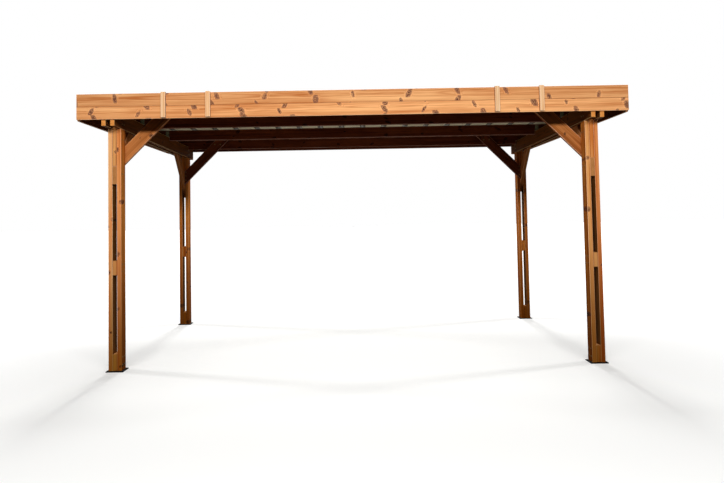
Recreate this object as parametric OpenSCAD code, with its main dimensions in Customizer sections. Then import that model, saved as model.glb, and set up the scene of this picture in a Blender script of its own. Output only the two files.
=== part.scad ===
// Open timber carport with a flat, slightly falling sheet roof.
// X runs along the long side, +Y to the rear, +Z up; millimetres.
// The origin is the bottom centre of the whole carport.

/* [Posts] */
// Distance over the outer faces of the posts, along the long side
post_span_x = 4540; // [4000:10:6000]
// Distance over the outer faces of the posts, front to rear
post_span_y = 2740; // [2500:10:4000]
// Thickness of each of the three layers of a post
layer_t = 40; // [30:1:60]
// Width of the post boards, front to rear
board_w = 120; // [90:1:160]
// Top of the foot block between the outer boards
foot_block_top = 162; // [80:1:400]
// Underside of the middle block
mid_block_bottom = 875; // [600:5:1100]
// Height of the middle block
mid_block_h = 135; // [60:1:250]
// Height at which the upper slot of a front post ends
slot_top = 1712; // [1550:1:1800]

/* [Base plates] */
// Thickness of the steel base plates
plate_t = 8; // [5:0.5:15]
// Margin of a base plate around its post
plate_margin = 20; // [18:1:60]
// Diameter of the anchor holes
anchor_hole_d = 9; // [6:0.5:12]
// Distance of the anchor holes from the plate's edges
anchor_edge = 10; // [8:0.5:11]

/* [Cross beams] */
// Underside of the cross beams at the front face of the front posts
beam_z = 2230; // [2100:5:2600]
// Depth of the cross beams
beam_h = 145; // [100:1:200]
// Overhang of the cross beams past the posts, front and rear
beam_overhang = 175; // [120:1:400]
// Fall of beams and roof to the rear, in percent
roof_fall = 2.4; // [1:0.1:4]

/* [Purlins] */
// Thickness of the purlins and rims
purlin_t = 40; // [30:1:60]
// Depth of the purlins and rims
purlin_h = 120; // [115:1:150]
// How far a purlin is notched over the cross beams
notch_d = 41; // [30:1:45]
// Side play of a notch at the beam pair
notch_play = 1; // [0.5:0.5:3]
// Distance of the second purlin behind the front of the posts
purlin_2_y = 724; // [500:1:900]
// Distance of the third purlin behind the front of the posts
purlin_3_y = 1690; // [1100:1:2000]

/* [Braces] */
// Width of the braces
brace_w = 120; // [80:1:150]
// Lower edge of a lengthwise brace at a post's inner side, for the front of the posts
long_brace_z = 1914; // [1750:1:2050]
// Brace ends stay this far below the tops of beams and purlins
brace_gap = 5; // [2:1:20]

/* [Fascia] */
// Overhang of the roof over the posts' outer faces, left and right
side_overhang = 215; // [150:5:400]
// Height of one fascia board, two of them high
fascia_board_h = 115; // [80:1:150]
// Thickness of the fascia boards
fascia_t = 22; // [16:1:30]
// Lower edge of the front fascia
fascia_z = 2290; // [2200:5:2400]
// Drop of the side fascias below the front one
side_drop = 11; // [0:1:30]
// Fall of the side fascias to the rear, in percent
side_fall = 1; // [0:0.1:4]
// Width of the cover battens on the front fascia
batten_w = 42; // [30:1:70]
// Thickness of the cover battens
batten_t = 22; // [15:1:30]
// Rise of the battens above the fascia, and gap below their lower ends
batten_step = 7; // [0:1:15]
// Distance of the inner battens from the middle
batten_inner_x = 1300; // [600:10:1500]
// Distance of the outer battens from the middle
batten_outer_x = 1700; // [1550:10:2000]

/* [Roof sheets] */
// Number of trapezoidal sheets side by side
sheet_count = 5; // [4:1:6]
// Ribs on each sheet
sheet_ribs = 4; // [3:1:6]
// Thickness of the sheet steel
sheet_t = 0.75; // [0.5:0.05:2]
// Height of the ribs over the pans
rib_h = 38; // [20:1:45]
// Width of a rib at its foot
rib_base = 66; // [50:1:90]
// Width of a rib at its crown
rib_top = 26; // [15:1:40]
// Overhang of the sheets past the rear rim
sheet_lip = 50; // [20:5:100]

/* [Angle brackets] */
// Leg length of the galvanised angle brackets
bracket_leg = 70; // [40:1:75]
// Width of the brackets
bracket_w = 40; // [20:1:40]
// Steel thickness of the brackets
bracket_t = 2.5; // [1.5:0.5:4]

/* [Hidden] */

$fn = 32;
timber = [0.80, 0.50, 0.28];
steel = [0.10, 0.10, 0.10];
zinc = [0.70, 0.72, 0.72];
sheet_colour = [0.78, 0.81, 0.72];

LEFT = -1;
RIGHT = 1;
FRONT = -1;
REAR = 1;

// The post group is set so that the overall box is centred front to rear.
front_reach = beam_overhang + fascia_t + batten_t;
roof_angle = atan(roof_fall / 100);
rear_reach = beam_overhang + sheet_lip + (rib_h + sheet_t) * sin(roof_angle);
front_y = -(post_span_y + rear_reach - front_reach) / 2;
rear_y = front_y + post_span_y;
beam_front_y = front_y - beam_overhang;
beam_rear_y = rear_y + beam_overhang;
post_x = post_span_x / 2;
post_inner_x = post_x - 3 * layer_t;
slant_w = brace_w * sqrt(2);
roof_l = post_span_x + 2 * side_overhang;
side_inner_x = roof_l / 2 - fascia_t;
fascia_h = 2 * fascia_board_h;

// Drop of everything that falls with the roof, at a distance front to rear.
function fall(y) = (y - front_y) * roof_fall / 100;
function beam_under(y) = beam_z - fall(y);
function beam_top(y) = beam_under(y) + beam_h;
function sheet_under(y) = beam_top(y) + purlin_h - notch_d;
function side_under(y) = fascia_z - side_drop - (y - beam_front_y) * side_fall / 100;

// Start of a post layer in X: 0 is the outer board, 1 the middle, 2 the inner.
function layer_x(side, k) = side == RIGHT ? post_x - (k + 1) * layer_t : -post_x + k * layer_t;
// Outer face of a post front to rear, a place further in, and the drop there.
function post_face(row) = row == FRONT ? front_y : rear_y;
function inward(row, d) = post_face(row) - row * d;
function row_drop(row) = row == FRONT ? 0 : fall(rear_y);

// A board whose outline lies in the YZ plane, t thick from x on.
module board_x(x, t, outline) {
    translate([x, 0, 0])
        rotate([90, 0, 90])
            linear_extrude(t)
                polygon(outline);
}

// A board whose outline lies in the XZ plane, t thick from y on.
module board_y(y, t, outline) {
    translate([0, y + t, 0])
        rotate([90, 0, 0])
            linear_extrude(t)
                polygon(outline);
}

// ---- base plates: square black steel, with four anchor holes each
module base_plate(side, row) {
    size_x = 3 * layer_t + 2 * plate_margin;
    size_y = board_w + 2 * plate_margin;
    centre_x = side * (post_x - 1.5 * layer_t);
    centre_y = inward(row, board_w / 2);
    translate([centre_x, centre_y, 0])
        difference() {
            translate([-size_x / 2, -size_y / 2, 0])
                cube([size_x, size_y, plate_t]);
            for (i = [-1, 1], j = [-1, 1])
                translate([i * (size_x / 2 - anchor_edge), j * (size_y / 2 - anchor_edge), -1])
                    cylinder(d = anchor_hole_d, h = plate_t + 2);
        }
}

module base_plates() {
    color(steel)
        for (side = [LEFT, RIGHT], row = [FRONT, REAR])
            base_plate(side, row);
}

// ---- posts: two full boards with three blocks between them
module post_board(side, row, k) {
    y0 = min(inward(row, 0), inward(row, board_w));
    y1 = y0 + board_w;
    color(timber)
        board_x(layer_x(side, k), layer_t, [
            [y0, plate_t], [y1, plate_t], [y1, beam_under(y1)], [y0, beam_under(y0)]
        ]);
}

// The head block fills the space over the brace up to the top of the beams.
module post_blocks(side, row) {
    outer_y = inward(row, 0);
    inner_y = inward(row, board_w);
    y0 = min(outer_y, inner_y);
    x0 = layer_x(side, 1);
    head_z = slot_top - row_drop(row) + slant_w;
    color(timber) {
        translate([x0, y0, plate_t])
            cube([layer_t, board_w, foot_block_top - plate_t]);
        translate([x0, y0, mid_block_bottom])
            cube([layer_t, board_w, mid_block_h]);
        board_x(x0, layer_t, [
            [outer_y, head_z], [inner_y, head_z + board_w],
            [inner_y, beam_top(inner_y)], [outer_y, beam_top(outer_y)]
        ]);
    }
}

// ---- cross beams: pairs that stand on the post boards, front to rear
module cross_beam(side, k) {
    color(timber)
        board_x(layer_x(side, k), layer_t, [
            [beam_front_y, beam_under(beam_front_y)], [beam_rear_y, beam_under(beam_rear_y)],
            [beam_rear_y, beam_top(beam_rear_y)], [beam_front_y, beam_top(beam_front_y)]
        ]);
}

// ---- cross braces: at 45 degrees in the middle layer, from post to beam pair
module cross_brace(side, row) {
    low_z = slot_top - row_drop(row);
    head_y = front_y + beam_z + beam_h - slot_top;
    high_z = low_z + beam_top(head_y) - brace_gap - slot_top;
    color(timber)
        board_x(layer_x(side, 1), layer_t, [
            [inward(row, 0), low_z],
            [inward(row, high_z - low_z), high_z],
            [inward(row, high_z - low_z - slant_w), high_z],
            [inward(row, 0), low_z + slant_w]
        ]);
}

// ---- long braces: at 45 degrees on the posts' inner faces, up to a purlin
module long_brace(side, row) {
    face_y = inward(row, board_w);
    y0 = row == FRONT ? face_y : face_y - layer_t;
    purlin_y = row == FRONT ? face_y - purlin_t : face_y;
    low_z = long_brace_z - fall(face_y);
    high_z = sheet_under(purlin_y + purlin_t) - brace_gap;
    reach = high_z - low_z;
    color(timber)
        board_y(y0, layer_t, [
            for (p = [
                [-layer_t, low_z - layer_t],
                [reach, high_z],
                [reach - slant_w, high_z],
                [-layer_t, low_z - layer_t + slant_w]
            ]) [side * (post_inner_x - p[0]), p[1]]
        ]);
}

// ---- purlins and rims: notched over both beam pairs
module purlin(y) {
    top = sheet_under(y + purlin_t);
    bottom = top - purlin_h;
    seat = beam_top(y);
    n0 = post_inner_x - notch_play;
    n1 = post_x + notch_play;
    color(timber)
        board_y(y, purlin_t, [
            [-side_inner_x, bottom], [-n1, bottom], [-n1, seat], [-n0, seat], [-n0, bottom],
            [n0, bottom], [n0, seat], [n1, seat], [n1, bottom], [side_inner_x, bottom],
            [side_inner_x, top], [-side_inner_x, top]
        ]);
}

purlin_y = [
    beam_front_y,
    front_y + board_w - purlin_t,
    front_y + purlin_2_y,
    front_y + purlin_3_y,
    rear_y - board_w,
    beam_rear_y - purlin_t
];

// ---- angle brackets: on the inner beams, against the fronts of two purlins
module angle_bracket(side, y) {
    seat = beam_top(y);
    x0 = side * (post_inner_x + layer_t / 2) - bracket_w / 2;
    translate([x0, 0, 0])
        rotate([90, 0, 90])
            linear_extrude(bracket_w)
                polygon([
                    [y, seat], [y, seat + bracket_leg], [y - bracket_t, seat + bracket_leg],
                    [y - bracket_t, seat + bracket_t], [y - bracket_leg, beam_top(y - bracket_leg) + bracket_t],
                    [y - bracket_leg, beam_top(y - bracket_leg)]
                ]);
}

module angle_brackets() {
    color(zinc)
        for (side = [LEFT, RIGHT], y = [purlin_y[2], purlin_y[3]])
            angle_bracket(side, y);
}

// ---- fascia: two boards high, at the front and on both sides
module front_fascia(level) {
    color(timber)
        translate([-roof_l / 2, beam_front_y - fascia_t, fascia_z + level * fascia_board_h])
            cube([roof_l, fascia_t, fascia_board_h]);
}

module side_fascia(side, level) {
    up = level * fascia_board_h;
    x = side == RIGHT ? side_inner_x : -side_inner_x - fascia_t;
    color(timber)
        board_x(x, fascia_t, [
            [beam_front_y, side_under(beam_front_y) + up],
            [beam_rear_y, side_under(beam_rear_y) + up],
            [beam_rear_y, side_under(beam_rear_y) + up + fascia_board_h],
            [beam_front_y, side_under(beam_front_y) + up + fascia_board_h]
        ]);
}

module cover_battens() {
    color([0.92, 0.74, 0.52])
        for (x = [-batten_outer_x, -batten_inner_x, batten_inner_x, batten_outer_x])
            translate([x - batten_w / 2, beam_front_y - fascia_t - batten_t, fascia_z + batten_step])
                cube([batten_w, batten_t, fascia_h]);
}

// ---- roof sheets: trapezoidal ribs run with the fall, on top of the purlins
pitch = 2 * side_inner_x / (sheet_count * sheet_ribs);

function rib_line(n, lift) = [
    for (i = [0 : n - 1], p = [
        [-rib_base / 2, 0], [-rib_top / 2, rib_h], [rib_top / 2, rib_h], [rib_base / 2, 0]
    ]) [(i + 0.5) * pitch + p[0], p[1] + lift]
];

module roof_sheet(i) {
    width = sheet_ribs * pitch;
    lower = concat([[0, 0]], rib_line(sheet_ribs, 0), [[width, 0]]);
    upper = [for (p = lower) [p[0], p[1] + sheet_t]];
    length = (beam_rear_y + sheet_lip - beam_front_y) / cos(roof_angle);
    color(sheet_colour)
        translate([-side_inner_x + i * width, beam_front_y, sheet_under(beam_front_y)])
            rotate([-roof_angle, 0, 0])
                board_y(0, length, concat(lower, [for (k = [len(upper) - 1 : -1 : 0]) upper[k]]));
}

base_plates();
post_board(LEFT, FRONT, 0);  // front_left_post_outer_board
post_board(LEFT, FRONT, 2);  // front_left_post_inner_board
post_blocks(LEFT, FRONT);  // front_left_post_blocks
post_board(RIGHT, FRONT, 0);  // front_right_post_outer_board
post_board(RIGHT, FRONT, 2);  // front_right_post_inner_board
post_blocks(RIGHT, FRONT);  // front_right_post_blocks
post_board(LEFT, REAR, 0);  // rear_left_post_outer_board
post_board(LEFT, REAR, 2);  // rear_left_post_inner_board
post_blocks(LEFT, REAR);  // rear_left_post_blocks
post_board(RIGHT, REAR, 0);  // rear_right_post_outer_board
post_board(RIGHT, REAR, 2);  // rear_right_post_inner_board
post_blocks(RIGHT, REAR);  // rear_right_post_blocks
cross_beam(LEFT, 0);  // left_outer_beam
cross_beam(LEFT, 2);  // left_inner_beam
cross_beam(RIGHT, 2);  // right_inner_beam
cross_beam(RIGHT, 0);  // right_outer_beam
cross_brace(LEFT, FRONT);  // front_left_cross_brace
cross_brace(RIGHT, FRONT);  // front_right_cross_brace
cross_brace(LEFT, REAR);  // rear_left_cross_brace
cross_brace(RIGHT, REAR);  // rear_right_cross_brace
long_brace(LEFT, FRONT);  // front_left_long_brace
long_brace(RIGHT, FRONT);  // front_right_long_brace
long_brace(LEFT, REAR);  // rear_left_long_brace
long_brace(RIGHT, REAR);  // rear_right_long_brace
purlin(purlin_y[0]);  // front_rim
purlin(purlin_y[1]);  // purlin_1
purlin(purlin_y[2]);  // purlin_2
purlin(purlin_y[3]);  // purlin_3
purlin(purlin_y[4]);  // purlin_4
purlin(purlin_y[5]);  // rear_rim
angle_brackets();
front_fascia(0);  // front_fascia_lower
front_fascia(1);  // front_fascia_upper
side_fascia(LEFT, 0);  // left_fascia_lower
side_fascia(LEFT, 1);  // left_fascia_upper
side_fascia(RIGHT, 0);  // right_fascia_lower
side_fascia(RIGHT, 1);  // right_fascia_upper
cover_battens();
roof_sheet(0);  // roof_sheet_1
roof_sheet(1);  // roof_sheet_2
roof_sheet(2);  // roof_sheet_3
roof_sheet(3);  // roof_sheet_4
roof_sheet(4);  // roof_sheet_5
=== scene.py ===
"""Timber carport with layered posts, put together from its base plates up to its roof sheets."""
import random
from math import pi, radians

import bmesh
import bpy
from mathutils import Matrix, Vector


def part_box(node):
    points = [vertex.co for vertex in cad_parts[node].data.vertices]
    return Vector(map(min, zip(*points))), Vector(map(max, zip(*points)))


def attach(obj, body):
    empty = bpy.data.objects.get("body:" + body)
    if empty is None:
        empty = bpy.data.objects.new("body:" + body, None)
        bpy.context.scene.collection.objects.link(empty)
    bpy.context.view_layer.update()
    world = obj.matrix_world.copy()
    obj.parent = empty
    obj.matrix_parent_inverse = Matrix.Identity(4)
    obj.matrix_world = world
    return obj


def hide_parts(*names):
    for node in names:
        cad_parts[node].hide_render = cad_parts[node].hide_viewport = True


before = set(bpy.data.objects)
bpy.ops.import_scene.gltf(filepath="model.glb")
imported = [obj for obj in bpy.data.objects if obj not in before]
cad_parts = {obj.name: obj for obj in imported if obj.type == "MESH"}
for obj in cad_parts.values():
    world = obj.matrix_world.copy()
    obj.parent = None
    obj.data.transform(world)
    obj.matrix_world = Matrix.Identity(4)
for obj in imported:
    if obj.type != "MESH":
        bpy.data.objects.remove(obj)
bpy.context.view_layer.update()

# ---- camera: at a standing person's eye height before the long side, turned up a little so that the
# roof and the feet both fit. The frame is shifted down for the same reason, and leans one degree. The
# angles are in degrees.
EYE = Vector((-.0358, -7.6795, 1.4175))
TURNED = -.086
LOOKING_UP = 2.577
LEANING = -1.029
scene = bpy.context.scene
lens = bpy.data.cameras.new("camera")
lens.sensor_width = 36
lens.lens = 33.98
lens.shift_x = .0151
lens.shift_y = -.083
camera = bpy.data.objects.new("camera", lens)
scene.collection.objects.link(camera)
turn = Matrix.Rotation(radians(TURNED), 4, "Z")
look_up = Matrix.Rotation(radians(90 + LOOKING_UP), 4, "X")
lean = Matrix.Rotation(radians(LEANING), 4, "Z")
camera.matrix_world = Matrix.Translation(EYE) @ turn @ look_up @ lean
scene.camera = camera
scene.view_settings.view_transform = "Standard"


# ---- studio: a pale floor and a white surround, which the lens and glossy surfaces see. What they
# throw back onto the timber is kept low, so the space under the roof stays as dark as outdoors.
def linear(hex_colour):
    """The linear colour that a shader takes, from sRGB hex text."""
    parts = [int(hex_colour[i:i + 2], 16) / 255 for i in (1, 3, 5)]
    return tuple(c / 12.92 if c <= .04045 else ((c + .055) / 1.055) ** 2.4 for c in parts) + (1,)


def add_node(tree, kind, inputs=None, **settings):
    """Adds one shader node, with its settings, and its inputs either set or linked."""
    made = tree.nodes.new("ShaderNode" + kind)
    for name, value in settings.items():
        setattr(made, name, value)
    for socket, value in (inputs or {}).items():
        if isinstance(value, bpy.types.NodeSocket):
            tree.links.new(value, made.inputs[socket])
        else:
            made.inputs[socket].default_value = value
    return made


def seen_directly(tree):
    """1 for what the lens, a gloss or a clear surface sees, 0 for light thrown back."""
    ray = add_node(tree, "LightPath").outputs
    gloss = add_node(tree, "Math", {0: ray["Is Glossy Ray"], 1: ray["Is Transmission Ray"]},
                     operation="MAXIMUM")
    seen = add_node(tree, "Math", {0: ray["Is Camera Ray"], 1: gloss.outputs[0]}, operation="MAXIMUM")
    return seen.outputs[0]


surround = bpy.data.worlds.new("white_surround")
surround.use_nodes = True
sky = surround.node_tree
sky.nodes.clear()
ambient = add_node(sky, "Background", {"Color": linear("#F4F7FF"), "Strength": .05})
white = add_node(sky, "Background", {"Color": linear("#FFFFFF"), "Strength": 1.0})
sky_mix = add_node(sky, "MixShader", {0: seen_directly(sky), 1: ambient.outputs[0], 2: white.outputs[0]})
add_node(sky, "OutputWorld", {"Surface": sky_mix.outputs[0]})
scene.world = surround

FLOOR_REACH = 60
paper = bpy.data.materials.new("pale_studio_floor")
paper.use_nodes = True
tree = paper.node_tree
tree.nodes.clear()
bounce = add_node(tree, "BsdfDiffuse", {"Color": linear("#3E3C38")})
pale = add_node(tree, "BsdfDiffuse", {"Color": linear("#EDEDEB")})
# The key lights the floor before the carport most, so the floor's own glow rises away from there: to
# the rear, behind the key, and to both sides. The open floor comes out white all round, and the shadows
# on it still show. Each rise has its start and end in metres, and the glow at both.
spot = add_node(tree, "SeparateXYZ", {0: add_node(tree, "TexCoord").outputs["Object"]})
aside = add_node(tree, "Math", {0: spot.outputs[0]}, operation="ABSOLUTE")
glow_level = 0.0
for distance, start, end, low, high in ((spot.outputs[1], -3.8, 4.0, .04, .52),
                                        (spot.outputs[1], -5.5, -8.2, 0.0, .5),
                                        (aside.outputs[0], 1.5, 6.0, 0.0, .45)):
    rise = add_node(tree, "MapRange", {"Value": distance, "From Min": start, "From Max": end,
                                       "To Min": low, "To Max": high}, interpolation_type="SMOOTHSTEP")
    glow_level = add_node(tree, "Math", {0: glow_level, 1: rise.outputs[0]}, operation="ADD").outputs[0]
glow = add_node(tree, "Emission", {"Color": linear("#FFFFFF"), "Strength": glow_level})
lit = add_node(tree, "AddShader", {0: pale.outputs[0], 1: glow.outputs[0]})
floor_mix = add_node(tree, "MixShader", {0: seen_directly(tree), 1: bounce.outputs[0], 2: lit.outputs[0]})
add_node(tree, "OutputMaterial", {"Surface": floor_mix.outputs[0]})
bm = bmesh.new()
bmesh.ops.create_grid(bm, x_segments=1, y_segments=1, size=FLOOR_REACH)
floor_mesh = bpy.data.meshes.new("floor")
bm.to_mesh(floor_mesh)
bm.free()
floor_mesh.materials.append(paper)
floor = bpy.data.objects.new("floor", floor_mesh)
scene.collection.objects.link(floor)


def lamp(name, kind, energy, place):
    """A lamp that shines along its own -Z from where it is placed."""
    made = bpy.data.lights.new(name, kind)
    made.energy = energy
    placed = bpy.data.objects.new(name, made)
    placed.visible_camera = False
    placed.matrix_world = place
    scene.collection.objects.link(placed)
    return made


def aim(azimuth, elevation):
    """Turned to shine down from a height. Azimuth 0 shines towards the rear, and 90 from the right."""
    return Matrix.Rotation(radians(azimuth), 4, "Z") @ Matrix.Rotation(radians(90 - elevation), 4, "X")


# The key is a long soft box before the front, so light falls off towards the rear posts.
KEY_AT = (0, -7.6, 3.9)
key_box = lamp("key_soft_box", "AREA", 490, Matrix.Translation(KEY_AT) @ aim(0, 14))
key_box.shape = "RECTANGLE"
key_box.size = 7
key_box.size_y = .6
# Weak suns fill in from the rear and from both sides, for whoever looks from there.
for side, azimuth, strength in (("rear", 180, 2.0), ("left", -110, 1.0), ("right", 110, 1.0)):
    lamp(f"{side}_lamp", "SUN", strength, aim(azimuth, 26)).angle = radians(8)
# Light thrown up by the ground, onto the undersides of the sheets.
GROUND_LIGHT_AT = (0, -.3, .05)
facing_up = Matrix.Translation(GROUND_LIGHT_AT) @ Matrix.Rotation(pi, 4, "X")
ground_light = lamp("ground_light", "AREA", 13, facing_up)
ground_light.shape = "RECTANGLE"
ground_light.size = 3.6
ground_light.size_y = 2.4


# ---- base plates: four square plates of 8 mm steel, drilled at the corners and powder coated black.
# Each post stands on one.
def cad_copy(node):
    """The CAD node's shape as a clean mesh, without doubled corners or flat edges."""
    bm = bmesh.new()
    bm.from_mesh(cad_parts[node].data)
    bmesh.ops.remove_doubles(bm, verts=bm.verts[:], dist=.00002)
    bmesh.ops.dissolve_limit(bm, angle_limit=radians(.5), verts=bm.verts[:], edges=bm.edges[:])
    return bm


def show(bm, name, finishes, stands_for=None):
    """Makes the finished piece from its mesh, and says what it rides on and stands for."""
    mesh = bpy.data.meshes.new(name)
    bm.to_mesh(mesh)
    bm.free()
    for finish in finishes:
        mesh.materials.append(finish)
    piece = bpy.data.objects.new(name, mesh)
    scene.collection.objects.link(piece)
    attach(piece, "root")
    if stands_for:
        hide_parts(stands_for)
    return piece


def powder_coat(name, colour):
    """Black polyester powder coat, baked on steel: a matt skin with an orange peel of 2 mm, and some
    dust in patches 50 mm across."""
    made = bpy.data.materials.new(name)
    made.use_nodes = True
    tree = made.node_tree
    place = add_node(tree, "TexCoord").outputs["Object"]
    peel = add_node(tree, "TexNoise", {"Vector": place, "Scale": 450.0, "Detail": 2.0})
    dust = add_node(tree, "TexNoise", {"Vector": place, "Scale": 18.0, "Detail": 6.0, "Roughness": .65})
    dusted = add_node(tree, "MapRange", {"Value": dust.outputs[0], "From Min": .5, "From Max": .75,
                                         "To Min": 0.0, "To Max": .2})
    skin = add_node(tree, "Mix", {0: dusted.outputs[0], 6: linear(colour), 7: linear("#24201A")},
                    data_type="RGBA")
    gloss = add_node(tree, "MapRange", {"Value": dust.outputs[0], "To Min": .6, "To Max": .85})
    bump = add_node(tree, "Bump", {"Height": peel.outputs[0], "Strength": .3, "Distance": .0003})
    shader = tree.nodes["Principled BSDF"]
    shader.inputs["Specular IOR Level"].default_value = .03
    tree.links.new(skin.outputs[2], shader.inputs["Base Color"])
    tree.links.new(gloss.outputs[0], shader.inputs["Roughness"])
    tree.links.new(bump.outputs[0], shader.inputs["Normal"])
    return made


PLATE_ARRIS = .0008
bm = cad_copy("base_plates")
bmesh.ops.bevel(bm, geom=bm.edges[:], offset=PLATE_ARRIS, segments=2, profile=.5, affect="EDGES",
                material=-1)
show(bm, "steel_base_plates", [powder_coat("black_powder_coat", "#050505")], "base_plates")


# ---- posts: two planed boards of oiled larch, 120 by 40 mm, kept apart by a foot, a middle and a
# head block of the same section. Screws through the outer faces hold the three layers together. The
# faces inside the slots take a dark wood as painted shade. The rear posts, and the faces towards the
# parking bay, take a deeper copy of the wood as painted shade.
def solids(bm):
    """The separate boards in a mesh, each as a set of corners."""
    left = set(bm.verts)
    while left:
        found = set()
        reached = [left.pop()]
        while reached:
            corner = reached.pop()
            found.add(corner)
            for edge in corner.link_edges:
                other = edge.other_vert(corner)
                if other in left:
                    left.remove(other)
                    reached.append(other)
        yield found


# An end may be cut at 45 degrees, so it need not quite face along the board.
END_FACING = .6


def timber_piece(name, node, along, face, finishes, arris=.005, seam=None, shape=None, takes_third_finish=None):
    """A CAD board with eased arrises. Each solid gets a heart of its own off to one side, from which
    its growth rings are measured: along the board, across it, and through its thickness. An arris
    face is 1 where it gets a painted highlight, or -1 in a seam, where it gets painted shade. The
    finishes are for the faces, the ends and the faces that takes_third_finish tells apart by their
    normals, which mostly take a darker wood as painted shade."""
    bm = cad_copy(node)
    if shape:
        shape(bm)
    arris_mark = bm.faces.layers.float.new("arris")
    grain = bm.verts.layers.float_vector.new("grain")
    tone = bm.verts.layers.float.new("tone")
    eased = bmesh.ops.bevel(bm, geom=bm.edges[:], offset=arris, segments=2, profile=.5,
                            affect="EDGES", material=-1, clamp_overlap=True)["faces"]
    for f in eased:
        f[arris_mark] = -1 if seam and seam(f.calc_center_median()) else 1
    along = Vector(along).normalized()
    face = Vector(face)
    across = face.cross(along)
    boards = [(sum((v.co for v in corners), Vector()) / len(corners), corners) for corners in solids(bm)]
    # They are taken in a fixed order, from the left and then upwards, so each keeps its own grain.
    for middle, corners in sorted(boards, key=lambda board: round(board[0].z + 9 * board[0].x, 3)):
        heart = Vector((random.uniform(5, 60), random.uniform(-.03, .03),
                        random.choice((-1, 1)) * random.uniform(.03, .06)))
        shade = random.uniform(-1, 1)
        for v in corners:
            off = v.co - middle
            v[grain] = heart + Vector((off.dot(along), off.dot(across), off.dot(face)))
            v[tone] = shade
    for f in bm.faces:
        if abs(f.normal.dot(along)) > END_FACING:
            f.material_index = 1
        elif takes_third_finish and takes_third_finish(f.normal):
            f.material_index = 2
    return show(bm, name, finishes, node)


# The spacing of the rings on faces and on ends, how far they wander there, and how far the collar
# round a knot pushes them, all in metres.
RING = .007
RING_WANDER = .012
END_RING = .006
END_WANDER = .002
COLLAR_BULGE = .011


def rings(tree, place, ring, wander, collar):
    """Growth rings round the heart: 0 in early wood, 1 in late wood. They wander along the board and
    bulge in the collars round its knots."""
    slow = add_node(tree, "VectorMath", {0: place, 1: (1.1, 8, 8)}, operation="MULTIPLY")
    drift = add_node(tree, "TexNoise", {"Vector": slow.outputs[0], "Scale": 1.0, "Detail": 3.0})
    drifted = add_node(tree, "MapRange", {"Value": drift.outputs[0], "To Min": -wander, "To Max": wander})
    flat = add_node(tree, "VectorMath", {0: place, 1: (0, 1, 1)}, operation="MULTIPLY")
    radius = add_node(tree, "VectorMath", {0: flat.outputs[0]}, operation="LENGTH")
    pushed = add_node(tree, "Math", {0: radius.outputs["Value"], 1: drifted.outputs[0]}, operation="ADD")
    if collar:
        pushed = add_node(tree, "Math", {0: collar, 1: COLLAR_BULGE, 2: pushed.outputs[0]},
                          operation="MULTIPLY_ADD")
    turns = add_node(tree, "Math", {0: pushed.outputs[0], 1: ring / 2}, operation="DIVIDE")
    swing = add_node(tree, "Math", {0: turns.outputs[0], 1: 1.0}, operation="PINGPONG")
    return add_node(tree, "Math", {0: swing.outputs[0], 1: 1.7}, operation="POWER").outputs[0]


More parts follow.
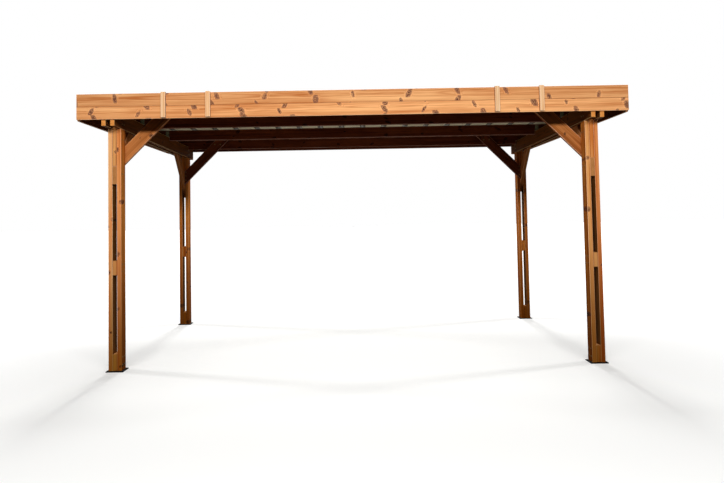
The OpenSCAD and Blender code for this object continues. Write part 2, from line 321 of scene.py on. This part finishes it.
def knots(tree, place, share, cells, stretch, radii):
    """Knots, one in each cell or none, in rows that wander along the board. Gives how far a point is
    from its knot, the knot's radius, how much of the point is knot, and how much of it is the collar
    of wood that has grown round the knot."""
    slow = add_node(tree, "VectorMath", {0: place, 1: (1.3, 1.5, 1.5)}, operation="MULTIPLY")
    wander = add_node(tree, "TexNoise", {"Vector": slow.outputs[0], "Scale": 1.0, "Detail": 1.0})
    moved = add_node(tree, "VectorMath", {0: wander.outputs["Color"], 1: (0, .16, .16), 2: place},
                     operation="MULTIPLY_ADD")
    scaled = add_node(tree, "VectorMath", {0: moved.outputs[0], 1: cells}, operation="MULTIPLY")
    cell = add_node(tree, "TexVoronoi", {"Vector": scaled.outputs[0], "Scale": 1.0, "Randomness": .4})
    chance = add_node(tree, "SeparateColor", {0: cell.outputs["Color"]})
    there = add_node(tree, "Math", {0: chance.outputs[0], 1: 1 - share}, operation="GREATER_THAN")
    radius = add_node(tree, "MapRange", {"Value": chance.outputs[0], "From Min": 1 - share,
                                         "From Max": 1.0, "To Min": radii[0], "To Max": radii[1]})

    # A knot is a slanting oval, stretched each way as asked, with a ragged edge.
    offset = add_node(tree, "VectorMath", {0: scaled.outputs[0], 1: cell.outputs["Position"]},
                      operation="SUBTRACT")
    squash = tuple(1 / (c * s) for c, s in zip(cells, stretch))
    metres = add_node(tree, "VectorMath", {0: offset.outputs[0], 1: squash}, operation="MULTIPLY")
    sides = add_node(tree, "SeparateXYZ", {0: metres.outputs[0]})
    slant = add_node(tree, "MapRange", {"Value": chance.outputs[1], "To Min": -1.1, "To Max": 1.1})
    leaned = add_node(tree, "Math", {0: sides.outputs[1], 1: slant.outputs[0], 2: sides.outputs[0]},
                      operation="MULTIPLY_ADD")
    shaped = add_node(tree, "CombineXYZ", {0: leaned.outputs[0], 1: sides.outputs[1], 2: sides.outputs[2]})
    distance = add_node(tree, "VectorMath", {0: shaped.outputs[0]}, operation="LENGTH")
    uneven = add_node(tree, "TexNoise", {"Vector": place, "Scale": 70.0, "Detail": 2.0})
    ragged = add_node(tree, "Math", {0: uneven.outputs[0], 1: .5}, operation="SUBTRACT")
    reach = add_node(tree, "Math", {0: ragged.outputs[0], 1: .016, 2: distance.outputs["Value"]},
                     operation="MULTIPLY_ADD")

    # Paler flecks 10 mm wide break it up, and its edge is soft for about a quarter of its radius.
    rim = add_node(tree, "Math", {0: radius.outputs[0], 1: 1.25, 2: .0008}, operation="MULTIPLY_ADD")
    inside = add_node(tree, "MapRange", {"Value": reach.outputs[0], "From Min": radius.outputs[0],
                                         "From Max": rim.outputs[0], "To Min": 1.0, "To Max": 0.0})
    flecks = add_node(tree, "TexNoise", {"Vector": place, "Scale": 95.0, "Detail": 2.0})
    flecked = add_node(tree, "MapRange", {"Value": flecks.outputs[0], "From Min": .38, "From Max": .52,
                                          "To Min": .42, "To Max": 1.0})
    grown = add_node(tree, "Math", {0: inside.outputs[0], 1: there.outputs[0]}, operation="MULTIPLY")
    core = add_node(tree, "Math", {0: grown.outputs[0], 1: flecked.outputs[0]}, operation="MULTIPLY")
    far = add_node(tree, "Math", {0: radius.outputs[0], 1: 2.0, 2: .004}, operation="MULTIPLY_ADD")
    around = add_node(tree, "MapRange", {"Value": reach.outputs[0], "From Min": radius.outputs[0],
                                         "From Max": far.outputs[0], "To Min": 1.0, "To Max": 0.0},
                      interpolation_type="SMOOTHSTEP")
    collar = add_node(tree, "Math", {0: around.outputs[0], 1: there.outputs[0]}, operation="MULTIPLY")
    return distance.outputs["Value"], radius.outputs[0], core.outputs[0], collar.outputs[0]


def streaks(tree, place, ring_line, figure):
    """Streaks 30 mm wide and up to two metres long, zones three times as wide, and fibres 4 mm wide,
    over the ring lines. Gives the streaks, the zones, the fibres, and how dark they come out together."""
    drawn = add_node(tree, "VectorMath", {0: place, 1: (.5, 34, 34)}, operation="MULTIPLY")
    streak = add_node(tree, "TexNoise", {"Vector": drawn.outputs[0], "Scale": 1.0, "Detail": 5.0,
                                         "Roughness": .65, "Distortion": .25})
    streak_step = add_node(tree, "MapRange", {"Value": streak.outputs[0], "From Min": .33, "From Max": .67})
    broad = add_node(tree, "VectorMath", {0: place, 1: (.9, 11, 11)}, operation="MULTIPLY")
    zone = add_node(tree, "TexNoise", {"Vector": broad.outputs[0], "Scale": 1.0, "Detail": 3.0,
                                       "Distortion": .6})
    zone_step = add_node(tree, "MapRange", {"Value": zone.outputs[0], "From Min": .36, "From Max": .64,
                                            "To Min": -.24, "To Max": .16})
    thin = add_node(tree, "VectorMath", {0: place, 1: (9, 260, 260)}, operation="MULTIPLY")
    fibre = add_node(tree, "TexNoise", {"Vector": thin.outputs[0], "Scale": 1.0, "Detail": 2.0})
    both = add_node(tree, "Math", {0: streak_step.outputs[0], 1: figure, 2: zone_step.outputs[0]},
                    operation="MULTIPLY_ADD")
    lined = add_node(tree, "Math", {0: ring_line, 1: .38, 2: both.outputs[0]}, operation="MULTIPLY_ADD")
    depth = add_node(tree, "Math", {0: fibre.outputs[0], 1: .3, 2: lined.outputs[0]},
                     operation="MULTIPLY_ADD", use_clamp=True)
    return streak.outputs[0], zone.outputs[0], fibre.outputs[0], depth.outputs[0]


def planed_larch(name, early, late, knot, share=.7, cells=(2.3, 21, 3), stretch=(1.3, 1, 8),
                 figure=.5, radii=(.006, .020), painted_low_shade=None, arris_highlight=None):
    """Planed and oiled larch. Honey and russet streaks run along it, with late wood lines round dark
    knots, arrises made pale as a painted highlight and seams darkened as painted shade. Knots grow in
    whorls, nearly half a metre apart along the board, with a few to each. Rings are drawn 7 mm apart,
    twice their width, to show at all from a few metres. share is the part of the cells that hold a
    knot, cells is how many there are to a metre each way, stretch how much longer a knot is each way,
    radii its least and greatest radius, and figure the strength of the streaks. painted_low_shade
    darkens it towards the ground as painted shade, and arris_highlight is the colour of the painted
    highlight on arrises."""
    made = bpy.data.materials.new(name)
    made.use_nodes = True
    tree = made.node_tree
    place = add_node(tree, "Attribute", attribute_name="grain").outputs["Vector"]
    distance, radius, core, collar = knots(tree, place, share, cells, stretch, radii)
    ring_line = rings(tree, place, RING, RING_WANDER, collar)
    streak, zone, fibre, depth = streaks(tree, place, ring_line, figure)

    # No two boards are quite as dark, and the collar round a knot is a little paler.
    wood = add_node(tree, "Mix", {0: depth, 6: linear(early), 7: linear(late)}, data_type="RGBA")
    tone = add_node(tree, "Attribute", attribute_name="tone").outputs["Fac"]
    level = add_node(tree, "Math", {0: tone, 1: .08, 2: 1.0}, operation="MULTIPLY_ADD")
    swell = add_node(tree, "Math", {0: collar, 1: .1, 2: level.outputs[0]}, operation="MULTIPLY_ADD")
    toned = add_node(tree, "HueSaturation", {"Color": wood.outputs[2], "Value": swell.outputs[0]})

    # Knots, from a dark heart to a browner rind.
    outer = add_node(tree, "MapRange", {"Value": distance, "From Min": .003, "From Max": radius,
                                        "To Min": 0.0, "To Max": .8})
    rind = add_node(tree, "HueSaturation", {"Color": linear(late), "Saturation": .85, "Value": .65})
    heart = add_node(tree, "Mix", {0: outer.outputs[0], 6: linear(knot), 7: rind.outputs[0]},
                     data_type="RGBA")
    knotted = add_node(tree, "Mix", {0: core, 6: toned.outputs[0], 7: heart.outputs[2]}, data_type="RGBA")

    # Arrises are made pale in patches as a painted highlight, and the seams are darkened as painted shade.
    arris = add_node(tree, "Attribute", attribute_name="arris").outputs["Fac"]
    patchy = add_node(tree, "MapRange", {"Value": zone, "From Min": .3, "From Max": .7,
                                         "To Min": .3, "To Max": 1.1})
    painted_arris_highlight = add_node(tree, "Math", {0: arris, 1: patchy.outputs[0]}, operation="MULTIPLY", use_clamp=True)
    paler = add_node(tree, "HueSaturation", {"Color": linear(arris_highlight or early), "Saturation": .8,
                                             "Value": 1.25})
    paled = add_node(tree, "Mix", {0: painted_arris_highlight.outputs[0], 6: knotted.outputs[2], 7: paler.outputs[0]},
                     data_type="RGBA")
    seam_darkening = add_node(tree, "Math", {0: arris, 1: -.35}, operation="MULTIPLY", use_clamp=True)
    colour = add_node(tree, "Mix", {0: seam_darkening.outputs[0], 6: paled.outputs[2], 7: linear(knot)},
                      data_type="RGBA").outputs[2]
    # Darker towards the ground, as painted shade.
    if painted_low_shade:
        height = add_node(tree, "SeparateXYZ", {0: add_node(tree, "TexCoord").outputs["Object"]})
        uneven = add_node(tree, "Math", {0: streak, 1: 1.1, 2: height.outputs[2]}, operation="MULTIPLY_ADD")
        low_shade = add_node(tree, "MapRange", {"Value": uneven.outputs[0], "From Min": .45, "From Max": 2.0,
                                          "To Min": 1.0, "To Max": 0.0}, interpolation_type="SMOOTHSTEP")
        colour = add_node(tree, "Mix", {0: low_shade.outputs[0], 6: colour, 7: linear(painted_low_shade)}, data_type="RGBA",
                          blend_type="MULTIPLY").outputs[2]

    # Late wood and fibres stand up a little, and the darker wood holds a little more shine.
    relief = add_node(tree, "Math", {0: ring_line, 1: .5, 2: fibre}, operation="MULTIPLY_ADD")
    bump = add_node(tree, "Bump", {"Height": relief.outputs[0], "Strength": .35, "Distance": .0006})
    gloss = add_node(tree, "MapRange", {"Value": depth, "To Min": .8, "To Max": .62})
    shader = tree.nodes["Principled BSDF"]
    shader.inputs["Specular IOR Level"].default_value = .01
    tree.links.new(colour, shader.inputs["Base Color"])
    tree.links.new(gloss.outputs[0], shader.inputs["Roughness"])
    tree.links.new(bump.outputs[0], shader.inputs["Normal"])
    return made


def sawn_end(name, early, late):
    """The crosscut end of a board: rings round the heart as arcs, blotches of oil 30 mm across, and
    open pores. The pores are drawn 2 mm apart, far coarser than they are, to show at all."""
    made = bpy.data.materials.new(name)
    made.use_nodes = True
    tree = made.node_tree
    place = add_node(tree, "Attribute", attribute_name="grain").outputs["Vector"]
    ring_line = rings(tree, place, END_RING, END_WANDER, None)
    pores = add_node(tree, "TexNoise", {"Vector": place, "Scale": 600.0, "Detail": 2.0})
    blotch = add_node(tree, "TexNoise", {"Vector": place, "Scale": 35.0, "Detail": 3.0})
    soaked = add_node(tree, "Math", {0: blotch.outputs[0], 1: .5}, operation="MULTIPLY")
    depth = add_node(tree, "Math", {0: ring_line, 1: .6, 2: soaked.outputs[0]},
                     operation="MULTIPLY_ADD", use_clamp=True)
    wood = add_node(tree, "Mix", {0: depth.outputs[0], 6: linear(early), 7: linear(late)}, data_type="RGBA")
    bump = add_node(tree, "Bump", {"Height": pores.outputs[0], "Strength": .5, "Distance": .0008})
    shader = tree.nodes["Principled BSDF"]
    shader.inputs["Specular IOR Level"].default_value = .01
    shader.inputs["Roughness"].default_value = .8
    tree.links.new(wood.outputs[2], shader.inputs["Base Color"])
    tree.links.new(bump.outputs[0], shader.inputs["Normal"])
    return made


# All post woods are darkened towards the ground as painted shade.
POST_GRAIN = {"share": .75, "cells": (2.1, 3, 26), "stretch": (1.3, 8, 1), "figure": .75,
              "painted_low_shade": "#988A58"}
post_larch = planed_larch("oiled_larch_post_blocks", "#FFC47C", "#C46C2C", "#3A2014", **POST_GRAIN)
pale_post_larch = planed_larch("oiled_pale_larch_posts", "#FFCE90", "#D87A3A", "#3A2014", **POST_GRAIN)
red_post_larch = planed_larch("oiled_red_larch_posts", "#F4A460", "#BC5A22", "#3A2014", **POST_GRAIN)
# A deeper copy of the post wood, as painted shade, for the rear posts and the faces towards the bay.
post_shade_larch = planed_larch("oiled_larch_posts_painted_shade", "#F29A44", "#98460F", "#3A2014", **POST_GRAIN)
# A dark wood for the faces inside the slots, as painted shade.
slot_shade_larch = planed_larch("larch_in_slots_painted_shade", "#9A6026", "#54300E", "#241408", share=.3,
                          cells=(2.1, 3, 26), stretch=(1.3, 8, 1))
post_end = sawn_end("oiled_larch_post_ends", "#D99A5C", "#8A4E22")
# The boards of the front posts differ in tone, pale on the left and redder beside it.
FRONT_TONES = {"front_left_outer_board": pale_post_larch, "front_left_inner_board": red_post_larch,
               "front_right_inner_board": post_larch, "front_right_outer_board": red_post_larch}
POSTS = ("front_left", "front_right", "rear_left", "rear_right")
UPRIGHT = (0, 0, 1)
SIDEWAYS = (1, 0, 0)
random.seed(11)
for post in POSTS:
    inward = 1 if post.endswith("left") else -1
    for part, slot_side in (("outer_board", inward), ("inner_board", -inward)):
        face_larch = FRONT_TONES.get(f"{post}_{part}", post_shade_larch)
        # The faces towards the slot take the dark wood, as painted shade.
        board = timber_piece(f"{post}_larch_{part}", f"{post}_post_{part}", UPRIGHT,
                             SIDEWAYS, [face_larch, post_end, slot_shade_larch, post_shade_larch], arris=.003,
                             takes_third_finish=lambda normal: normal.x * slot_side > .9)
        # The inner board's face towards the bay takes the deeper copy, as painted shade.
        for f in board.data.polygons:
            if part == "inner_board" and f.normal.x * inward > .9:
                f.material_index = 3
    block_larch = post_larch if post.startswith("front") else post_shade_larch
    # The blocks' arrises all take painted shade, as seams between the boards.
    timber_piece(f"{post}_larch_blocks", f"{post}_post_blocks", UPRIGHT, SIDEWAYS,
                 [block_larch, post_end], arris=.004, seam=lambda middle: True)


def zinc_plate(name, bright, dull):
    """Yellow chromate over zinc plate, dulled outdoors: brassy brown heads with stains 4 mm across."""
    made = bpy.data.materials.new(name)
    made.use_nodes = True
    tree = made.node_tree
    place = add_node(tree, "TexCoord").outputs["Object"]
    stain = add_node(tree, "TexNoise", {"Vector": place, "Scale": 260.0, "Detail": 3.0})
    tint = add_node(tree, "Mix", {0: stain.outputs[0], 6: linear(bright), 7: linear(dull)},
                    data_type="RGBA")
    gloss = add_node(tree, "MapRange", {"Value": stain.outputs[0], "To Min": .55, "To Max": .8})
    shader = tree.nodes["Principled BSDF"]
    shader.inputs["Metallic"].default_value = .5
    shader.inputs["Specular IOR Level"].default_value = .2
    tree.links.new(tint.outputs[2], shader.inputs["Base Color"])
    tree.links.new(gloss.outputs[0], shader.inputs["Roughness"])
    return made


def screw_head(radius, rise, washer=0):
    """A domed head with a six sided driver recess, on a flat washer where one is asked for."""
    bm = bmesh.new()
    disc = bmesh.ops.create_circle(bm, cap_ends=True, segments=18, radius=washer or radius)
    top = disc["verts"][0].link_faces[0]
    steps = [(radius * .12, rise * .6), (radius * .3, rise * .4), (radius * .25, 0), (0, -rise * .8)]
    if washer:
        steps = [(radius * .08, .0015), (washer - radius * 1.08, 0)] + steps
    for shrink, lift in steps:
        if shrink:
            bmesh.ops.inset_region(bm, faces=[top], thickness=shrink, use_even_offset=True)
            bmesh.ops.translate(bm, verts=top.verts[:], vec=(0, 0, lift))
        else:
            sunk = bmesh.ops.extrude_discrete_faces(bm, faces=[top])["faces"]
            bmesh.ops.translate(bm, verts=sunk[0].verts[:], vec=(0, 0, lift))
    mesh = bpy.data.meshes.new("one_screw_head")
    bm.to_mesh(mesh)
    bm.free()
    return mesh


def screws(name, head, finish, places):
    """One piece that holds a row of heads. Each place has the head's own Z pointing out of the face."""
    bm = bmesh.new()
    for place in places:
        before = set(bm.verts)
        bm.from_mesh(head)
        bmesh.ops.transform(bm, matrix=place, verts=[v for v in bm.verts if v not in before])
    return show(bm, name, [finish])


def facing(out, at):
    """Stands something at a point with its Z along the given way out of the face."""
    return Matrix.Translation(at) @ Vector(out).to_track_quat("Z", "Y").to_matrix().to_4x4()


# Pairs of screws: their levels over the ground at the foot and middle blocks, and their rise from the
# tops of the outer boards at the head block and the cross beams.
BLOCK_LEVELS = (.06, .13, .91, .975)
HEAD_LEVELS = (-.42, -.10, .045, .1)
EDGE_SHARE = .27
plated = zinc_plate("yellow_zinc_screws", "#9A8656", "#5E4E36")
timber_screw = screw_head(.007, .0012)
for post in POSTS:
    low, high = (Vector(corner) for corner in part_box(f"{post}_post_outer_board"))
    low_in, high_in = (Vector(corner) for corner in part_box(f"{post}_post_inner_board"))
    left = min(low.x, low_in.x)
    right = max(high.x, high_in.x)
    in_from_edge = (high.y - low.y) * EDGE_SHARE
    places = []
    for level in BLOCK_LEVELS + tuple(high.z + rise for rise in HEAD_LEVELS):
        for across in (low.y + in_from_edge, high.y - in_from_edge):
            places.append(facing((-1, 0, 0), (left, across, level)))
            places.append(facing((1, 0, 0), (right, across, level)))
    screws(f"{post}_post_screws", timber_screw, plated, places)

# ---- cross beams: a pair of 145 by 40 mm boards on each side, on edge on top of the post boards, with
# their ends left square under the front fascia.
# The beams' faces take a dark wood as painted shade from the roof, with a pale painted highlight on their
# arrises. Their ends keep the wood's honey colour.
beam_shade_larch = planed_larch("oiled_larch_beams_painted_shade", "#7A441A", "#422008", "#20100A", arris_highlight="#B08840")
beam_end = sawn_end("oiled_larch_beam_ends", "#F6AC5C", "#BA6822")
REARWARD = (0, 1, 0)
for beam in ("left_outer", "left_inner", "right_inner", "right_outer"):
    timber_piece(f"{beam}_larch_beam", f"{beam}_beam", REARWARD, SIDEWAYS,
                 [beam_shade_larch, beam_end])

# ---- braces: 120 by 40 mm boards at 45 degrees. The cross braces fill the posts' middle layer up to
# the beams, and the long braces are screwed behind the posts and up against a purlin. The rear long
# braces take a dark wood as painted shade, but for their backs.
brace_larch = planed_larch("oiled_larch_braces", "#D2884C", "#8C481A", "#34200F")
# A dark copy of the wood, as painted shade, for the purlins and the rear long braces.
deep_shade_larch = planed_larch("oiled_larch_deep_painted_shade", "#7A3C20", "#44180C", "#200C06", share=.5, arris_highlight="#B07860")
for post in POSTS:
    inward = 1 if post.startswith("front") else -1
    timber_piece(f"{post}_larch_cross_brace", f"{post}_cross_brace", (0, inward, 1),
                 SIDEWAYS, [brace_larch, post_end], arris=.003)
for post in POSTS:
    inward = 1 if post.endswith("left") else -1
    shaded = brace_larch if post.startswith("front") else deep_shade_larch
    timber_piece(f"{post}_larch_long_brace", f"{post}_long_brace", (inward, 0, 1),
                 REARWARD, [brace_larch, post_end, shaded], arris=.004,
                 takes_third_finish=lambda normal: normal.y < .5)

# The long braces' screws go into the post at the foot and into the purlin at the head. Each has its
# distance from the brace's foot, along the carport and up.
LONG_BRACE_SCREWS = ((.02, .06), (.02, .115), (.02, .165), (.4, .52), (.47, .52))
for post in POSTS:
    inward = 1 if post.endswith("left") else -1
    outward = 1 if post.startswith("front") else -1
    low, high = (Vector(corner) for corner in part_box(f"{post}_long_brace"))
    foot_x = low.x if inward > 0 else high.x
    face_y = high.y if outward > 0 else low.y
    places = []
    for step_in, step_up in LONG_BRACE_SCREWS:
        places.append(facing((0, outward, 0), (foot_x + inward * step_in, face_y, low.z + step_up)))
    screws(f"{post}_brace_screws", timber_screw, plated, places)

# ---- purlins and rims: six 120 by 40 mm boards along the carport, notched over both beam pairs. They
# take a dark wood as painted shade, but for the rear rim's outer face, with a pale painted highlight on
# their arrises.
PURLINS = ("front_rim", "purlin_1", "purlin_2", "purlin_3", "purlin_4", "rear_rim")
for purlin in PURLINS:
    timber_piece(f"larch_{purlin}", purlin, SIDEWAYS, REARWARD,
                 [deep_shade_larch, beam_end, brace_larch],
                 takes_third_finish=lambda normal: purlin == "rear_rim" and normal.y > .9)

# ---- fascia: two planed boards high, 115 by 22 mm, at the front and on both sides. Between them is an
# open joint of 1 mm, closed behind by the lower board's tongue. Their backs take the beams' dark wood
# as painted shade, and the arrises at the joint are darkened as painted shade.
FASCIA_JOINT = .001
# The width of the board's top left free on each side of the tongue.
TONGUE_SHOULDER = .007
fascia_larch = planed_larch("oiled_larch_fascia", "#FFC284", "#C2723C", "#52322C", share=.9,
                            cells=(2.3, 14, 3), stretch=(1, 1.8, 8), figure=.62,
                            radii=(.012, .027))
fascia_end = sawn_end("oiled_larch_fascia_ends", "#C98A50", "#8A5228")
joint_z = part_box("front_fascia_lower")[1][2]
# An arris whose middle is this near the joint's level belongs to it.
NEAR_JOINT = .012


def in_joint(middle):
    """True on the two arrises at the joint between the boards, which take painted shade."""
    return abs(middle.z - joint_z) < NEAR_JOINT


def tongue(bm):
    """Lowers the top of the board by the joint, except for a tongue 8 mm thick along its middle."""
    top = max(bm.faces, key=lambda f: f.calc_center_median().z)
    shoulders = list(top.verts)
    bmesh.ops.inset_region(bm, faces=[top], thickness=TONGUE_SHOULDER, use_even_offset=True)
    bmesh.ops.translate(bm, verts=shoulders, vec=(0, 0, -FASCIA_JOINT))


for side, along, face, inwards in (("front", SIDEWAYS, REARWARD, Vector((0, 1, 0))),
                                   ("left", REARWARD, SIDEWAYS, Vector((1, 0, 0))),
                                   ("right", REARWARD, SIDEWAYS, Vector((-1, 0, 0)))):
    for level in ("lower", "upper"):
        timber_piece(f"larch_{side}_fascia_{level}", f"{side}_fascia_{level}", along, face,
                     [fascia_larch, fascia_end, beam_shade_larch], arris=.002, seam=in_joint,
                     shape=tongue if level == "lower" else None,
                     takes_third_finish=lambda normal: normal.dot(inwards) > .9)

# ---- cover battens: four pale planed pine battens, 42 by 22 mm, upright on the front fascia. Their
# sides take a darker wood as painted shade.
batten_pine = planed_larch("planed_pine_battens", "#FFE2B8", "#DC9A60", "#8A5A34", share=.2, figure=.6)
batten_end = sawn_end("planed_pine_ends", "#F2CE9C", "#C8965E")
# A darker wood for the batten sides, as painted shade.
batten_side_shade = planed_larch("pine_batten_sides_painted_shade", "#B47444", "#7A4420", "#3A2014", share=.1)
timber_piece("pine_cover_battens", "cover_battens", UPRIGHT, REARWARD,
             [batten_pine, batten_end, batten_side_shade], arris=.002, takes_third_finish=lambda normal: abs(normal.x) > .9)


# ---- angle brackets: steel, bent square and galvanised. Two sit on each inner beam against the fronts
# of two purlins, with three screws in each leg.
def galvanised(name, light, dark):
    """Hot-dip zinc, weathered to an olive grey, with spangles 6 mm across that differ a little."""
    made = bpy.data.materials.new(name)
    made.use_nodes = True
    tree = made.node_tree
    place = add_node(tree, "TexCoord").outputs["Object"]
    spangle = add_node(tree, "TexVoronoi", {"Vector": place, "Scale": 160.0})
    flake = add_node(tree, "SeparateColor", {0: spangle.outputs["Color"]})
    tint = add_node(tree, "Mix", {0: flake.outputs[0], 6: linear(dark), 7: linear(light)},
                    data_type="RGBA")
    dull = add_node(tree, "MapRange", {"Value": flake.outputs[1], "To Min": .6, "To Max": .8})
    shader = tree.nodes["Principled BSDF"]
    shader.inputs["Metallic"].default_value = .85
    tree.links.new(tint.outputs[2], shader.inputs["Base Color"])
    tree.links.new(dull.outputs[0], shader.inputs["Roughness"])
    return made


BRACKET_ARRIS = .0006
# Screws go into the broad faces of the legs, in a row along their length.
LEG_AREA = .0014
ALONG_LEG = (-.3, 0, .3)
zinc = galvanised("galvanised_steel", "#847E66", "#5A543C")
bm = cad_copy("angle_brackets")
bmesh.ops.bevel(bm, geom=bm.edges[:], offset=BRACKET_ARRIS, segments=1, profile=.5, affect="EDGES",
                material=-1)
places = []
for f in bm.faces:
    middle = f.calc_center_median()
    to_front = f.normal.y < -.9
    to_middle = f.normal.x * middle.x < -.9 * abs(middle.x)
    if f.calc_area() > LEG_AREA and (to_front or to_middle):
        longest = max((e.verts[0].co - e.verts[1].co for e in f.edges), key=lambda run: run.length)
        for part in ALONG_LEG:
            places.append(facing(f.normal, middle + longest * part))
show(bm, "galvanised_brackets", [zinc], "angle_brackets")
screws("bracket_screws", screw_head(.0045, .0012), plated, places)


# ---- roof sheets: five trapezoidal sheets of coated steel, with their ribs along the fall. Each laps
# 40 mm over the one on its right, and is screwed through its pans into every purlin. The backing coat
# is paler than the top, partly as painted light thrown up from below, and the undersides of the ribs
# take a dark coat as painted shade.
def coated_sheet(name, light, shaded):
    """Polyester coat on zinc: an even satin skin, with faint rolling marks along the ribs, 17 mm apart,
    and clouds half a metre across."""
    made = bpy.data.materials.new(name)
    made.use_nodes = True
    tree = made.node_tree
    place = add_node(tree, "TexCoord").outputs["Object"]
    drawn = add_node(tree, "VectorMath", {0: place, 1: (60, 1.2, 60)}, operation="MULTIPLY")
    marks = add_node(tree, "TexNoise", {"Vector": drawn.outputs[0], "Scale": 1.0, "Detail": 4.0})
    cloud = add_node(tree, "TexNoise", {"Vector": place, "Scale": 2.2, "Detail": 5.0})
    mixed = add_node(tree, "Math", {0: marks.outputs[0], 1: .5, 2: cloud.outputs[0]},
                     operation="MULTIPLY_ADD")
    mottle = add_node(tree, "MapRange", {"Value": mixed.outputs[0], "From Min": .45, "From Max": 1.05})
    tint = add_node(tree, "Mix", {0: mottle.outputs[0], 6: linear(light), 7: linear(shaded)},
                    data_type="RGBA")
    dull = add_node(tree, "MapRange", {"Value": marks.outputs[0], "To Min": .5, "To Max": .7})
    shader = tree.nodes["Principled BSDF"]
    tree.links.new(tint.outputs[2], shader.inputs["Base Color"])
    tree.links.new(dull.outputs[0], shader.inputs["Roughness"])
    return made


def width(f):
    """How far a face reaches across the ribs."""
    return max(v.co.x for v in f.verts) - min(v.co.x for v in f.verts)


def is_fold(e):
    """True on the edges along the ribs where the sheet is bent, and not on those of its thickness."""
    run = (e.verts[0].co - e.verts[1].co).normalized()
    return abs(run.y) > .9 and len(e.link_faces) == 2 and .3 < e.calc_face_angle() < 1.4


SHEETS = 5
# The side lap, how far it rises to lie on the next sheet, and the radius of the folds.
LAP = .04
LAP_RISE = .0009
FOLD_R = .003
# A pan is wider than this, and the underside of a rib lies higher over the pans than this.
PAN_WIDTH = .1
OVER_PAN = .01
coat = coated_sheet("coated_sheet_steel", "#ECECD0", "#CED0B4")
# A pale backing coat, made paler than the top partly as painted light from below.
backing = coated_sheet("backing_coat_under_sheets", "#FFF6D2", "#F4E6BC")
# A dark coat under the ribs, as painted shade.
rib_shade = coated_sheet("backing_coat_painted_shade_in_ribs", "#6A6248", "#443C28")
roof_screw = screw_head(.0055, .004, washer=.0095)
for number in range(1, SHEETS + 1):
    bm = cad_copy(f"roof_sheet_{number}")
    right = max(v.co.x for v in bm.verts)
    if number < SHEETS:
        edge = [f for f in bm.faces if f.normal.x > .9 and f.calc_center_median().x > right - .001]
        lapped = bmesh.ops.extrude_discrete_faces(bm, faces=edge)["faces"]
        bmesh.ops.translate(bm, verts=lapped[0].verts[:], vec=(LAP, 0, LAP_RISE))
    folds = [e for e in bm.edges if is_fold(e)]
    bmesh.ops.bevel(bm, geom=folds, offset=FOLD_R, segments=2, profile=.5, affect="EDGES", material=-1)
    flats = [f for f in bm.faces if f.normal.z > .9 and width(f) > PAN_WIDTH]
    floor_z = min(f.calc_center_median().z for f in flats)
    pans = [f for f in flats if f.calc_center_median().z < floor_z + 2 * OVER_PAN]
    places = []
    for f in pans:
        middle = f.calc_center_median()
        for purlin in PURLINS:
            low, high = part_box(purlin)
            y = (low[1] + high[1]) / 2
            z = middle.z - f.normal.y / f.normal.z * (y - middle.y)
            places.append(facing(f.normal, (middle.x, y, z)))
    for f in bm.faces:
        if f.normal.z < -.3:
            # The undersides of the ribs take the dark coat as painted shade.
            f.material_index = 2 if f.calc_center_median().z > floor_z + OVER_PAN else 1
    show(bm, f"coated_roof_sheet_{number}", [coat, backing, rib_shade], f"roof_sheet_{number}")
    screws(f"roof_sheet_{number}_screws", roof_screw, plated, places)
